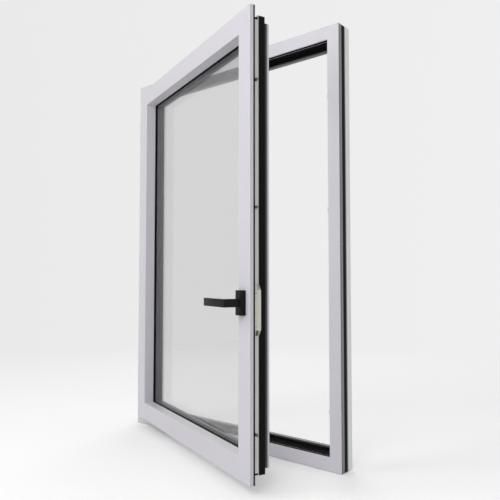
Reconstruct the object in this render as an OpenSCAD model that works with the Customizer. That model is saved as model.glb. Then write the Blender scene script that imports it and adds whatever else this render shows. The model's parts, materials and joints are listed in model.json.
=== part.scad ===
// Side-hung casement window in thermally broken aluminium, opening into the room.
// Millimetres. X runs along the window, +Y points outdoors, +Z is up.
// The origin is the middle of the frame's underside. The sash is drawn ajar.

/* [Window] */
// Width of the frame
window_w = 965; // [600:5:1300]
// Height of the frame
window_h = 1400; // [1150:10:2000]
// Angle at which the sash stands open
rest_opening = 20; // [0:1:90]

/* [Frame profile] */
// Width of the frame's room face
frame_face = 42; // [40:0.5:60]
// Width of frame face left showing round the closed sash
face_margin = 34; // [32:0.5:40]
// Depth of the frame's room-side shell
frame_inner_d = 16.7; // [16:0.1:18]
// Depth of the frame's thermal break
frame_break_d = 17.7; // [16:0.1:20]
// How much further the outdoor leg reaches than the room face
stop_rise = 17.5; // [12:0.1:18]
// Wall of every extruded profile
wall = 1.8; // [1.4:0.1:2.2]
// Depth of the room-facing surface of the frame's outdoor leg
stop_face_y = 48; // [46:0.5:50]

/* [Sash profile] */
// Width of the sash's inner shell, up to the glazing bead
shell_w = 55; // [50:0.5:60]
// Depth of the lip that overlaps the frame
lip_d = 10.7; // [10.5:0.1:13]
// Gap between the closed lip and the frame
closed_gap = 6.3; // [4:0.1:6.5]
// Distance from the lip's edge back to the hardware groove
body_set = 18; // [18:0.5:22]
// Distance from the lip's edge back to the outdoor shell
outer_set = 30; // [29:0.5:33]
// Depth of the sash's inner shell
sash_inner_d = 40; // [40:0.5:44]
// Depth at which the thermal break steps back
break_step = 59.5; // [59:0.5:60]
// Depth of the sash's thermal break
sash_break_d = 27.5; // [27.5:0.5:30]
// Depth of the sash's outdoor shell
sash_outer_d = 13.5; // [10:0.5:16]

/* [Hardware groove] */
// Mouth of the sash groove
groove_mouth = 15.5; // [14:0.5:16]
// Width of the sash groove inside
groove_w = 18.9; // [18:0.1:19.3]
// Depth of the sash groove behind its lips
groove_depth = 11.2; // [11:0.1:12]
// Distance from the sash's room face to the middle of its groove
groove_mid = 28.75; // [28.5:0.25:29]
// Mouth of the frame groove
frame_groove_mouth = 13; // [12:0.5:13]
// Width of the frame groove inside
frame_groove_w = 16; // [15:0.5:16]
// Depth of the frame groove behind its lips
frame_groove_depth = 9.2; // [8:0.1:10]

/* [Glazing] */
// Thickness of each pane
pane_t = 4; // [4:0.5:5]
// Gap between the panes
cavity = 16; // [14:1:16]
// Distance between the sash's inner shell and the edge of the glass
glass_play = 2; // [2:0.25:3]
// Height of the spacer bar
spacer_h = 6.5; // [5.5:0.5:7]
// Height of the edge seal
seal_h = 3; // [2.5:0.5:4]
// Width of the glazing bead's face
bead_w = 10; // [9.5:0.5:20]
// Depth of the glazing bead
bead_d = 36.5; // [34:0.5:37]
// Thickness of the inner glazing gasket
inner_gasket_t = 4.5; // [4:0.1:5]

/* [Handle] */
// Height of the spindle above the sash's lower edge
spindle_h = 493; // [400:1:600]
// Distance from the lip's edge to the spindle
spindle_set = 39; // [37.5:0.1:40]
// Width of the rosette
rosette_w = 31; // [26:0.5:31]
// Height of the rosette
rosette_h = 70; // [66:1:80]
// Thickness of the rosette
rosette_t = 16; // [14:0.5:20]
// Distance from the sash face to the front of the grip
handle_reach = 66; // [58:1:80]
// Width of the lever bar
lever_w = 22.5; // [20:0.5:24]
// Thickness of the grip
grip_t = 11; // [9:0.5:14]
// Distance from the spindle to the tip of the grip
grip_len = 116; // [90:0.5:150]
// Across the flats of the square spindle
spindle_w = 7; // [6:0.5:7]

/* [Lock] */
// Module of the gearbox teeth
tooth_module = 1.25; // [1.25:0.01:1.27]
// Thickness of the lock rail's flange
rail_flange_t = 2.2; // [1.8:0.1:2.4]
// Distance that the gearbox reaches below the spindle
gearbox_below = 76; // [70:1:90]
// Distance that the gearbox reaches above the spindle
gearbox_above = 35; // [32:1:45]
// Thickness of the gearbox faceplate
faceplate_t = 2; // [1.5:0.1:2.5]
// Radius of a locking cam
cam_r = 4; // [3.5:0.1:4.5]
// How far a locking cam stands off the lock rail
cam_h = 8.5; // [8:0.1:8.8]
// How far a keeper stands into the gap between frame and sash
keeper_reach = 4; // [3.6:0.1:4.6]
// Heights of the locking cams above the sash's lower edge
cam_heights = [130, 761, 1125];

/* [Hinges] */
// Radius of a hinge knuckle
knuckle_r = 6.5; // [6:0.1:6.6]
// Radius of a hinge pin
hinge_pin_r = 3; // [2.5:0.1:3.5]
// Length of a hinge
hinge_len = 84; // [70:1:110]
// Distance of the hinges' middles from the sash's top and bottom
hinge_inset = 160; // [130:5:260]
// Thickness of the hinge leaves
leaf_t = 2.5; // [2:0.1:2.8]

/* [Fixings] */
// Radius of the holes for the frame screws
fixing_hole_r = 4; // [3:0.25:5]
// Distance between the frame screws of a jamb
fixing_pitch = 500; // [400:10:540]

/* [Fits] */
// Free gap between pieces that move past each other
gap = 0.3; // [0.3:0.05:0.4]
// Radial clearance of a shaft in its bore
running = 0.05; // [0.03:0.01:0.08]
// How much each length of seal or strip is cut short at its mitre
mitre_trim = 0.1; // [0.05:0.05:0.3]

/* [Hidden] */
$fn = 48;

// Finishes
white_paint = [0.86, 0.86, 0.89];
black_plastic = [0.06, 0.06, 0.065];
black_rubber = [0.08, 0.08, 0.085];
black_paint = [0.10, 0.10, 0.105];
bare_metal = [0.72, 0.71, 0.68];
zinc = [0.62, 0.63, 0.65];
glass_tint = [0.75, 0.82, 0.82, 0.35];

// The whole section
sash_depth = sash_inner_d + sash_break_d + sash_outer_d;
proud = lip_d + closed_gap;
frame_depth = sash_depth - proud;
frame_outer_y = frame_inner_d + frame_break_d;
stop_n = frame_face + stop_rise;
sash_w = window_w - 2 * face_margin;
sash_h = window_h - 2 * face_margin;
sash_outer_v = sash_inner_d + sash_break_d;
sash_face = shell_w + bead_w;
overcut = 1;

// Thermal break bars and the pockets they are rolled into
bar_t = 3;
tongue_w = 1.6;
tongue_d = 1.5;
bar_inset = 33;
pocket_wall = tongue_d + wall;

// Frame groove, measured from the room face
frame_groove_y = 11;
frame_mouth = [frame_groove_y - frame_groove_mouth / 2, frame_groove_y + frame_groove_mouth / 2];
frame_slot = [frame_groove_y - frame_groove_w / 2, frame_groove_y + frame_groove_w / 2];
frame_floor = frame_face - wall - frame_groove_depth;
rear_lip_drop = 2;
rear_lip_y = frame_slot[1] + pocket_wall;
hook_n = frame_face - rear_lip_drop;
step_n = 20;

// Sash groove
mouth = [groove_mid - groove_mouth / 2, groove_mid + groove_mouth / 2];
slot = [groove_mid - groove_w / 2, groove_mid + groove_w / 2];
groove_floor = body_set + wall + groove_depth;
bead_hook_v = 20;
bead_hook_h = 3;
bead_hook_t = 1.1;
bead_play = 0.15;
glass_v = bead_d + inner_gasket_t;
glass_out_v = glass_v + 2 * pane_t + cavity;
leg_face_v = sash_outer_v + 1;
glass_r = shell_w + glass_play;

// Hinge axis: beside the lip's edge and clear of the frame's face
leaf_gap = 0.5;
hinge_offset = knuckle_r + leaf_gap + leaf_t;
hinge_x = -sash_w / 2 - hinge_offset;
hinge_y = -knuckle_r - leaf_t - leaf_gap;

// Gearbox
pinion_teeth = 16;
pitch_r = tooth_module * pinion_teeth / 2;
rack_travel = pitch_r * PI / 2;
rack_line = spindle_set - pitch_r;
rail_face = body_set + gap;
rail_flange_r = body_set + wall + gap;
rail_back = rail_flange_r + rail_flange_t;

// ---------- shared shapes ----------

// A straight profile along X, mitred at both ends. The outline's points are [depth, reach].
module mitred_bar(length, outline, holes = [], trim = 0) {
    reach = max([for (p = outline) p[1]]) + overcut;
    near = min([for (p = outline) p[0]]) - overcut;
    far = max([for (p = outline) p[0]]) + overcut;
    intersection() {
        translate([-length / 2, 0, 0])
            rotate([90, 0, 90])
                linear_extrude(length)
                    difference() {
                        polygon(outline);
                        for (h = holes) polygon(h);
                    }
        translate([0, far, 0])
            rotate([90, 0, 0])
                linear_extrude(far - near)
                    polygon([
                        [-length / 2 + trim, 0], [length / 2 - trim, 0],
                        [length / 2 - trim - reach, reach], [-length / 2 + trim + reach, reach]
                    ]);
    }
}

// Puts a bar on one side of a rectangle w by h whose lower edge is at z = 0.
module on_side(side, w, h) {
    if (side == "bottom") children();
    if (side == "top") translate([0, 0, h]) mirror([0, 0, 1]) children();
    if (side == "left") translate([-w / 2, 0, h / 2]) rotate([0, 90, 0]) children();
    if (side == "right") translate([w / 2, 0, h / 2]) mirror([1, 0, 0]) rotate([0, 90, 0]) children();
}

function side_length(side, w, h) = (side == "bottom" || side == "top") ? w : h;

module side_bar(side, w, h, outline, holes = [], trim = 0) {
    on_side(side, w, h) mitred_bar(side_length(side, w, h), outline, holes, trim);
}

// Four lengths of a seal or strip, each one cut to its mitres
module ring(w, h, outline, holes = []) {
    for (side = ["bottom", "top", "left", "right"]) side_bar(side, w, h, outline, holes, mitre_trim);
}

// One closed band of rectangular section, from [depth, reach] low to high
module band(w, h, low, high) {
    difference() {
        translate([-w / 2 + low[1], low[0], low[1]])
            cube([w - 2 * low[1], high[0] - low[0], h - 2 * low[1]]);
        translate([-w / 2 + high[1], low[0] - overcut, high[1]])
            cube([w - 2 * high[1], high[0] - low[0] + 2 * overcut, h - 2 * high[1]]);
    }
}

// Frame coordinates: y = 0 is the room face. Sash coordinates: y = 0 is the sash's room face.
module in_frame() {
    translate([0, -frame_depth / 2, 0]) children();
}

module swung() {
    translate([hinge_x, hinge_y, 0])
        rotate([0, 0, -rest_opening])
            translate([-hinge_x, -hinge_y, 0])
                children();
}

module in_sash() {
    in_frame() swung() translate([0, -proud, face_margin]) children();
}

// A point on the lock stile: distance from the lip's edge, depth, height.
module at_lock(r, v, z) {
    translate([sash_w / 2 - r, v, z]) children();
}

// A box on the lock stile between two corners [r, v, z].
module lock_box(low, high) {
    translate([sash_w / 2 - high[0], low[1], low[2]])
        cube([high[0] - low[0], high[1] - low[1], high[2] - low[2]]);
}

// ---------- frame ----------

function bar_pocket(n, y, depth) = [
    [y, n + (bar_t - tongue_w) / 2], [y + depth, n + (bar_t - tongue_w) / 2],
    [y + depth, n + (bar_t + tongue_w) / 2], [y, n + (bar_t + tongue_w) / 2]
];

function frame_inner_outline() = concat(
    [[0, 0], [0, frame_face], [frame_mouth[0], frame_face], [frame_mouth[0], frame_face - wall],
    [frame_slot[0], frame_face - wall], [frame_slot[0], frame_floor], [frame_slot[1], frame_floor],
    [frame_slot[1], hook_n - wall], [frame_mouth[1], hook_n - wall], [frame_mouth[1], hook_n],
    [rear_lip_y, hook_n]],
    [for (i = [3, 2, 1, 0]) bar_pocket(bar_inset, rear_lip_y, -tongue_d)[i]],
    [[rear_lip_y, step_n], [frame_inner_d, step_n]],
    [for (i = [3, 2, 1, 0]) bar_pocket(0, frame_inner_d, -tongue_d)[i]],
    [[frame_inner_d, 0]]
);

function frame_inner_chamber() = [
    [wall, wall], [wall, frame_floor - wall], [rear_lip_y - wall, frame_floor - wall],
    [rear_lip_y - wall, step_n + wall], [frame_inner_d - wall, step_n + wall],
    [frame_inner_d - wall, bar_t + wall], [frame_inner_d - pocket_wall, bar_t + wall],
    [frame_inner_d - pocket_wall, wall]
];

function frame_outer_outline() = concat(
    [[frame_outer_y, 0]],
    bar_pocket(0, frame_outer_y, tongue_d),
    bar_pocket(bar_inset, frame_outer_y, tongue_d),
    [[frame_outer_y, hook_n], [stop_face_y, hook_n], [stop_face_y, stop_n],
    [frame_depth, stop_n], [frame_depth, 0]]
);

function frame_outer_chamber() = [
    [frame_outer_y + pocket_wall, wall], [frame_outer_y + pocket_wall, hook_n - wall],
    [stop_face_y + wall, hook_n - wall], [stop_face_y + wall, stop_n - wall],
    [frame_depth - wall, stop_n - wall], [frame_depth - wall, wall]
];

module frame_inner_bar(side) {
    side_bar(side, window_w, window_h, frame_inner_outline(), [frame_inner_chamber()]);
}

module frame_outer_bar(side) {
    side_bar(side, window_w, window_h, frame_outer_outline(), [frame_outer_chamber()]);
}

// Holes for the frame screws, drilled through a jamb into the bottom of its groove.
module fixing_holes() {
    for (i = [-1, 0, 1])
        translate([-window_w / 2 - overcut, frame_groove_y, window_h / 2 + i * fixing_pitch])
            rotate([0, 90, 0])
                cylinder(r = fixing_hole_r, h = frame_face + 2 * overcut);
}

module drilled_jamb() {
    difference() {
        children();
        fixing_holes();
        mirror([1, 0, 0]) fixing_holes();
    }
}

module frame_inner_sill() {
    color(white_paint) in_frame() frame_inner_bar("bottom");
}

module frame_inner_head() {
    color(white_paint) in_frame() frame_inner_bar("top");
}

module frame_inner_hinge_jamb() {
    color(white_paint) in_frame()
        difference() {
            drilled_jamb() frame_inner_bar("left");
            hinge_places() frame_screw_places() leaf_screw(running);
        }
}

module frame_inner_lock_jamb() {
    color(white_paint) in_frame() drilled_jamb() frame_inner_bar("right");
}

// Water leaves the sill through two slots, each behind a cap.
drain_w = 28;
drain_h = 5;
drain_spread = 300;
drain_z = 12;

module drain_places() {
    for (side = [-1, 1]) translate([side * drain_spread, frame_depth, drain_z]) children();
}

module frame_outer_sill() {
    color(white_paint) in_frame()
        difference() {
            frame_outer_bar("bottom");
            drain_places()
                translate([-drain_w / 2, -wall - overcut, -drain_h / 2])
                    cube([drain_w, wall + 2 * overcut, drain_h]);
        }
}

module frame_outer_head() {
    color(white_paint) in_frame() frame_outer_bar("top");
}

module frame_outer_hinge_jamb() {
    color(white_paint) in_frame() frame_outer_bar("left");
}

module frame_outer_lock_jamb() {
    color(white_paint) in_frame() frame_outer_bar("right");
}

function break_bar(n, y0, y1) = concat(
    [[y0, n]], bar_pocket(n, y0, -tongue_d), [[y0, n + bar_t]],
    [[y1, n + bar_t]], [for (i = [3, 2, 1, 0]) bar_pocket(n, y1, tongue_d)[i]], [[y1, n]]
);

module frame_thermal_breaks() {
    color(black_plastic) in_frame() {
        ring(window_w, window_h, break_bar(0, frame_inner_d, frame_outer_y));
        ring(window_w, window_h, break_bar(bar_inset, rear_lip_y, frame_outer_y));
    }
}

// An L-shaped key in each corner of a chamber, from [depth, reach] low to high.
module corner_keys(w, h, low, high, leg) {
    for (sx = [-1, 1])
        for (top = [0, 1])
            translate([sx * w / 2, 0, top * h])
                mirror([sx > 0 ? 1 : 0, 0, 0])
                    mirror([0, 0, top])
                        union() {
                            translate([low[1], low[0], low[1]])
                                cube([leg, high[0] - low[0], high[1] - low[1]]);
                            translate([low[1], low[0], low[1]])
                                cube([high[1] - low[1], high[0] - low[0], leg]);
                        }
}

key_play = 0.2;
key_leg = 90;

module frame_corner_cleats() {
    color(bare_metal) in_frame()
        corner_keys(window_w, window_h,
            [wall + key_play, wall + key_play],
            [frame_inner_d - pocket_wall - key_play, frame_floor - wall - key_play], key_leg);
}

// The soft stop that the closed sash's step meets
foot_len = 10.4;
foot_t = 2.6;
gasket_bulge = 3;
gasket_lean = 2;
gasket_neck = 5;
gasket_nose = 1.3;
gasket_tip = 2.6;
gasket_nose_h = 0.8;
gasket_shoulder = 1.5;
gasket_web = 2.4;

function central_gasket_outline() =
    let (foot_n = bar_inset + bar_t, stop_y = break_step - proud + gap, lip_n = body_set + face_margin)
    [
        [frame_outer_y - foot_len, foot_n], [frame_outer_y - foot_len, foot_n + foot_t],
        [frame_outer_y + gasket_lean, hook_n + gasket_bulge],
        [stop_y - gasket_nose, lip_n - gasket_neck], [stop_y, lip_n - gasket_shoulder],
        [stop_y, lip_n + gasket_tip], [stop_y + gasket_nose, lip_n + gasket_tip + gasket_nose_h],
        [stop_face_y - gasket_web, lip_n], [stop_face_y, lip_n - gasket_shoulder],
        [stop_face_y, hook_n], [frame_outer_y, hook_n], [frame_outer_y, foot_n]
    ];

module central_gasket() {
    color(black_rubber) in_frame() ring(window_w, window_h, central_gasket_outline());
}

// Keepers sit in the lock jamb's groove. Each one's hook stands where its cam arrives.
keeper_len = 40;
keeper_foot_below = 8;
cam_past = 3;
keeper_hook_t = 4.8;
keeper_lead = 2;
keeper_screw_inset = 5;
cover_play = 0.2;

function keeper_z(i) = face_margin + cam_heights[i];
function hook_start() = cam_r + cam_past;
function hook_end() = rack_travel + cam_r + cam_past;

module keeper_places() {
    for (i = [0:len(cam_heights) - 1]) translate([window_w / 2, 0, keeper_z(i)]) children();
}

// Screws that clamp a keeper against the groove's floor
keeper_screw_r = 1.6;
keeper_head_r = 3.1;
keeper_head_t = 2.5;
head_sink = 0.5;

module keeper_screw_places() {
    for (z = [keeper_screw_inset, keeper_len - keeper_screw_inset] )
        translate([-frame_face, frame_groove_y, z - keeper_foot_below]) rotate([0, 90, 0]) children();
}

module keeper_screw(extra = 0, open = 0) {
    cylinder(r = keeper_screw_r + extra, h = frame_face - frame_floor + open);
    translate([0, 0, head_sink - 2 * open])
        cylinder(r = keeper_head_r + extra, h = keeper_head_t + 2 * open);
}

module keeper() {
    cam_y = groove_mid - proud;
    hook_y = cam_y - cam_r - 2 * gap;
    difference() {
        union() {
            // block clamped in the groove
            translate([-frame_face, frame_mouth[0] + cover_play, -keeper_foot_below])
                cube([frame_face - frame_floor, frame_groove_mouth - 2 * cover_play, keeper_len]);
            // hook on the room side of the cam, with a lead-in at its lower end
            translate([-frame_face, 0, 0])
                mirror([1, 0, 0])
                    translate([0, hook_y, 0])
                        rotate([90, 0, 0])
                            linear_extrude(keeper_hook_t)
                                polygon([
                                    [0, hook_start()], [keeper_reach - keeper_lead, hook_start()],
                                    [keeper_reach, hook_start() + 2 * keeper_lead],
                                    [keeper_reach, hook_end()],
                                    [0, hook_end()]
                                ]);
        }
        keeper_screw_places() keeper_screw(running, overcut);
    }
}

module keepers() {
    color(zinc) in_frame() keeper_places() keeper();
}

module keeper_screws() {
    color(zinc) in_frame() keeper_places() keeper_screw_places() keeper_screw();
}

// Black strips close the frame groove between the keepers.
cover_leg = 1.5;
cover_sink = 0.5;
cover_t = 2.5;
cover_hole_r = fixing_hole_r + gap;

function cover_outline() =
    let (y0 = frame_mouth[0] + cover_play, y1 = frame_mouth[1] - cover_play, top = frame_face - cover_sink)
    [
        [y0, frame_floor], [y0, top], [y1, top], [y1, frame_floor], [y1 - cover_leg, frame_floor],
        [y1 - cover_leg, top - cover_t], [y0 + cover_leg, top - cover_t], [y0 + cover_leg, frame_floor]
    ];

module groove_covers() {
    color(black_plastic) in_frame()
        difference() {
            ring(window_w, window_h, cover_outline());
            keeper_places()
                translate([-frame_face - overcut, 0, -keeper_foot_below - cover_play])
                    cube([frame_face, frame_depth, keeper_len + 2 * cover_play]);
            for (m = [0, 1])
                mirror([m, 0, 0])
                    for (i = [-1, 0, 1])
                        translate([-window_w / 2, frame_groove_y, window_h / 2 + i * fixing_pitch])
                            rotate([0, 90, 0])
                                cylinder(r = cover_hole_r, h = frame_face + overcut);
        }
}

cap_border = 4;
cap_flange_t = 1.2;
cap_depth = 4;
cap_wall = 1;

module drain_cap() {
    difference() {
        union() {
            translate([-drain_w / 2 - cap_border, 0, -drain_h / 2 - cap_border])
                cube([drain_w + 2 * cap_border, cap_flange_t, drain_h + 2 * cap_border]);
            translate([-drain_w / 2, 0, -drain_h / 2 + cap_wall])
                cube([drain_w, cap_depth, drain_h + cap_wall]);
        }
        translate([-drain_w / 2 + cap_wall, -overcut, -drain_h / 2])
            cube([drain_w - 2 * cap_wall, cap_depth, drain_h]);
    }
}

module drain_caps() {
    color(white_paint) in_frame() drain_places() drain_cap();
}

// ---------- hinges ----------

mid_share = 0.4;
washer_t = 1;
knuckle_mid = hinge_len * mid_share;
leaf_screw_r = 2;
leaf_screw_head_r = 3.6;
leaf_screw_len = 10;
leaf_screw_inset = 11;
frame_leaf_w = 19;
frame_leaf_lap = 3;
knuckle_web = 2;
knuckle_overlap = 1;
pin_head_t = 2;
pin_head_play = 0.5;
leaf_trim = 0.5;

function hinge_z(i) = face_margin + (i == 0 ? hinge_inset : sash_h - hinge_inset);

// Each hinge, with its axis at the local origin
module hinge_places() {
    for (i = [0, 1]) translate([hinge_x, hinge_y, hinge_z(i)]) children();
}

module frame_screw_places() {
    for (s = [-1, 1])
        translate([-knuckle_r - leaf_gap - frame_leaf_w / 2 + frame_leaf_lap, -hinge_y - leaf_t,
            s * (hinge_len / 2 - leaf_screw_inset)])
            rotate([-90, 0, 0])
                children();
}

module sash_screw_places() {
    for (s = [-1, 1])
        translate([hinge_offset - leaf_t, lip_d / 2 - proud - hinge_y,
            s * (hinge_len / 2 - leaf_screw_inset)])
            rotate([0, 90, 0])
                children();
}

// Countersunk screw, its head flush at z = 0, pointing along +Z
module flat_screw(r, head_r, length, extra = 0) {
    cylinder(r1 = head_r + extra, r2 = r + extra, h = head_r - r);
    cylinder(r = r + extra, h = length);
}

module leaf_screw(extra = 0) {
    flat_screw(leaf_screw_r, leaf_screw_head_r, leaf_screw_len, extra);
}

module knuckle(length) {
    translate([0, 0, -length / 2])
        difference() {
            cylinder(r = knuckle_r, h = length);
            translate([0, 0, -overcut]) cylinder(r = hinge_pin_r, h = length + 2 * overcut);
        }
}

module hinge_frame_leaf() {
    end_len = (hinge_len - knuckle_mid) / 2 - washer_t;
    end_mid = hinge_len / 2 - end_len / 2;
    difference() {
        union() {
            translate([-knuckle_r - leaf_gap - frame_leaf_w + frame_leaf_lap, -hinge_y - leaf_t,
                -hinge_len / 2])
                cube([frame_leaf_w, leaf_t, hinge_len]);
            for (s = [-1, 1])
                translate([0, 0, s * end_mid]) {
                    knuckle(end_len);
                    difference() {
                        translate([-knuckle_r - knuckle_web, 0, -end_len / 2])
                            cube([knuckle_r + knuckle_web, -hinge_y, end_len]);
                        cylinder(r = hinge_pin_r + knuckle_overlap, h = end_len + overcut, center = true);
                    }
                }
        }
        frame_screw_places() leaf_screw(running);
    }
}

module hinge_frame_leaves() {
    color(white_paint) in_frame() hinge_places() hinge_frame_leaf();
}

module hinge_sash_leaf() {
    mid_len = knuckle_mid - 2 * gap;
    web_v = lip_d / 3;
    difference() {
        union() {
            difference() {
                knuckle(mid_len);
                cylinder(r = hinge_pin_r + running, h = hinge_len, center = true);
            }
            // plate against the lip's edge
            translate([hinge_offset - leaf_t, -proud - hinge_y + leaf_trim, -hinge_len / 2])
                cube([leaf_t, lip_d - 2 * leaf_trim, hinge_len]);
            // web from the knuckle to the plate
            difference() {
                translate([0, -web_v, -mid_len / 2]) cube([hinge_offset - leaf_t, 2 * web_v, mid_len]);
                cylinder(r = hinge_pin_r + knuckle_overlap, h = hinge_len, center = true);
            }
        }
        sash_screw_places() leaf_screw(running);
    }
}

module hinge_sash_leaves() {
    color(white_paint) in_frame() swung() hinge_places() hinge_sash_leaf();
}

module hinge_pins() {
    color(zinc) in_frame()
        hinge_places() {
            cylinder(r = hinge_pin_r, h = hinge_len, center = true);
            for (s = [0, 1])
                mirror([0, 0, s])
                    translate([0, 0, hinge_len / 2])
                        cylinder(r = knuckle_r - pin_head_play, h = pin_head_t);
        }
}

module hinge_washers() {
    color(black_plastic) in_frame()
        hinge_places()
            for (s = [0, 1])
                mirror([0, 0, s])
                    translate([0, 0, knuckle_mid / 2])
                        difference() {
                            cylinder(r = knuckle_r - pin_head_play, h = washer_t);
                            translate([0, 0, -overcut]) cylinder(r = hinge_pin_r, h = washer_t + 2 * overcut);
                        }
}

module hinge_frame_screws() {
    color(zinc) in_frame() hinge_places() frame_screw_places() leaf_screw();
}

module hinge_sash_screws() {
    color(zinc) in_frame() swung() hinge_places() sash_screw_places() leaf_screw();
}

// ---------- sash ----------

gasket_slot = [2, 5];
gasket_slot_d = 2.2;

function sash_inner_outline() = concat(
    [[0, 0], [0, shell_w], [bead_hook_v, shell_w], [bead_hook_v, shell_w - bead_hook_t - bead_play],
    [bead_hook_v + bead_hook_h, shell_w - bead_hook_t - bead_play],
    [bead_hook_v + bead_hook_h, shell_w], [sash_inner_d, shell_w]],
    [for (i = [3, 2, 1, 0]) bar_pocket(sash_bar_r, sash_inner_d, -tongue_d)[i]],
    [[sash_inner_d, body_set], [mouth[1], body_set], [mouth[1], body_set + wall],
    [slot[1], body_set + wall], [slot[1], groove_floor], [slot[0], groove_floor],
    [slot[0], body_set + wall], [mouth[0], body_set + wall], [mouth[0], body_set],
    [lip_d, body_set], [lip_d, gasket_slot[1]], [lip_d - gasket_slot_d, gasket_slot[1]],
    [lip_d - gasket_slot_d, gasket_slot[0]], [lip_d, gasket_slot[0]], [lip_d, 0]]
);

sash_bar_r = 34;
hook_wall = wall + bead_hook_t + bead_play;

function sash_front_chamber() = [
    [wall, wall], [wall, shell_w - hook_wall], [slot[0] - wall, shell_w - hook_wall],
    [slot[0] - wall, body_set + wall], [lip_d - wall, body_set + wall],
    [lip_d - wall, gasket_slot[1] + wall], [lip_d - gasket_slot_d - wall, gasket_slot[1] + wall],
    [lip_d - gasket_slot_d - wall, wall]
];

function sash_rear_chamber() = [
    [slot[0], groove_floor + wall], [slot[0], shell_w - hook_wall],
    [sash_inner_d - pocket_wall, shell_w - hook_wall], [sash_inner_d - pocket_wall, groove_floor + wall]
];

function sash_break_outline() = concat(
    [[sash_inner_d, body_set], [break_step, body_set], [break_step, body_set + break_nib_t],
    [break_step - break_nib, body_set + break_nib_t], [break_step - break_nib, outer_set],
    [sash_outer_v, outer_set]],
    bar_pocket(sash_bar_r, sash_outer_v, tongue_d),
    [[sash_outer_v, shell_w], [sash_inner_d, shell_w]],
    [for (i = [3, 2, 1, 0]) bar_pocket(sash_bar_r, sash_inner_d, -tongue_d)[i]]
);

break_wall = 2.2;
break_nib = 2.5;
break_nib_t = 6;
break_back = break_step - break_nib - break_wall;

function sash_break_chamber() = [
    [sash_inner_d + break_wall, body_set + break_wall],
    [break_back, body_set + break_wall], [break_back, outer_set + break_wall],
    [sash_outer_v - break_wall, outer_set + break_wall], [sash_outer_v - break_wall, shell_w - break_wall],
    [sash_inner_d + break_wall, shell_w - break_wall]
];

function sash_outer_outline() = concat(
    [[sash_outer_v, outer_set]],
    bar_pocket(sash_bar_r, sash_outer_v, tongue_d),
    [[sash_outer_v, shell_w], [leg_face_v, shell_w], [leg_face_v, sash_face],
    [sash_depth, sash_face], [sash_depth, outer_set]]
);

function sash_outer_chamber() = [
    [sash_outer_v + pocket_wall, outer_set + wall], [sash_outer_v + pocket_wall, sash_face - wall],
    [sash_depth - wall, sash_face - wall], [sash_depth - wall, outer_set + wall]
];

module sash_inner_bar(side) {
    side_bar(side, sash_w, sash_h, sash_inner_outline(), [sash_front_chamber(), sash_rear_chamber()]);
}

module sash_outer_bar(side) {
    side_bar(side, sash_w, sash_h, sash_outer_outline(), [sash_outer_chamber()]);
}

module sash_inner_bottom_rail() {
    color(white_paint) in_sash() sash_inner_bar("bottom");
}

module sash_inner_top_rail() {
    color(white_paint) in_sash() sash_inner_bar("top");
}

module sash_inner_hinge_stile() {
    color(white_paint)
        difference() {
            in_sash() sash_inner_bar("left");
            in_frame() swung() hinge_places() sash_screw_places() leaf_screw(running);
        }
}

// The lock stile is cut out for the gearbox and drilled for the handle.
module sash_inner_lock_stile() {
    color(white_paint) in_sash()
        difference() {
            sash_inner_bar("right");
            lock_box([groove_floor - overcut, slot[0], spindle_h - gearbox_below - gap],
                [shell_w - hook_wall, gearbox_far + gap, spindle_h + gearbox_above + gap]);
            at_lock(spindle_set, -overcut, spindle_h)
                rotate([-90, 0, 0])
                    cylinder(r = spindle_hole_r, h = slot[0] + 2 * overcut);
            for (s = [-1, 1])
                at_lock(spindle_set, -overcut, spindle_h + s * handle_screw_pitch / 2)
                    rotate([-90, 0, 0])
                        cylinder(r = handle_screw_r + running, h = slot[0] + 2 * overcut);
        }
}

module sash_outer_bottom_rail() {
    color(white_paint) in_sash() sash_outer_bar("bottom");
}

module sash_outer_top_rail() {
    color(white_paint) in_sash() sash_outer_bar("top");
}

module sash_outer_hinge_stile() {
    color(white_paint) in_sash() sash_outer_bar("left");
}

module sash_outer_lock_stile() {
    color(white_paint) in_sash() sash_outer_bar("right");
}

module sash_thermal_breaks() {
    color(black_plastic) in_sash() ring(sash_w, sash_h, sash_break_outline(), [sash_break_chamber()]);
}

module sash_corner_cleats() {
    color(bare_metal) in_sash()
        corner_keys(sash_w, sash_h,
            [wall + key_play, body_set + wall + key_play],
            [slot[0] - wall - key_play, shell_w - hook_wall - key_play], key_leg);
}

// The soft strip on the back of the lip, rooted in the lip's slot
overlap_nose = 1;
overlap_flat = [1.5, 4];
overlap_back = 7.5;
overlap_skirt = 1.6;

function overlap_gasket_outline() = [
    [lip_d - gasket_slot_d, gasket_slot[0]], [lip_d, gasket_slot[0]], [lip_d, 0],
    [proud - gap - overlap_nose, 0], [proud - gap, overlap_flat[0]], [proud - gap, overlap_flat[1]],
    [lip_d + overlap_skirt, overlap_back], [lip_d, overlap_back], [lip_d, gasket_slot[1]],
    [lip_d - gasket_slot_d, gasket_slot[1]]
];

module overlap_gasket() {
    color(black_rubber) in_sash() ring(sash_w, sash_h, overlap_gasket_outline());
}

function bead_outline() = [
    [0, shell_w + bead_play], [0, sash_face], [bead_d, sash_face], [bead_d, shell_w + bead_play],
    [bead_hook_v + bead_hook_h - bead_play, shell_w + bead_play],
    [bead_hook_v + bead_hook_h - bead_play, shell_w - bead_hook_t],
    [bead_hook_v + bead_play, shell_w - bead_hook_t], [bead_hook_v + bead_play, shell_w + bead_play]
];

function bead_chamber() = [
    [wall, shell_w + bead_play + wall], [wall, sash_face - wall],
    [bead_d - wall, sash_face - wall], [bead_d - wall, shell_w + bead_play + wall]
];

module bead_bar(side) {
    side_bar(side, sash_w, sash_h, bead_outline(), [bead_chamber()]);
}

module glazing_bead_bottom() {
    color(white_paint) in_sash() bead_bar("bottom");
}

module glazing_bead_top() {
    color(white_paint) in_sash() bead_bar("top");
}

module glazing_bead_hinge_side() {
    color(white_paint) in_sash() bead_bar("left");
}

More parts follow.
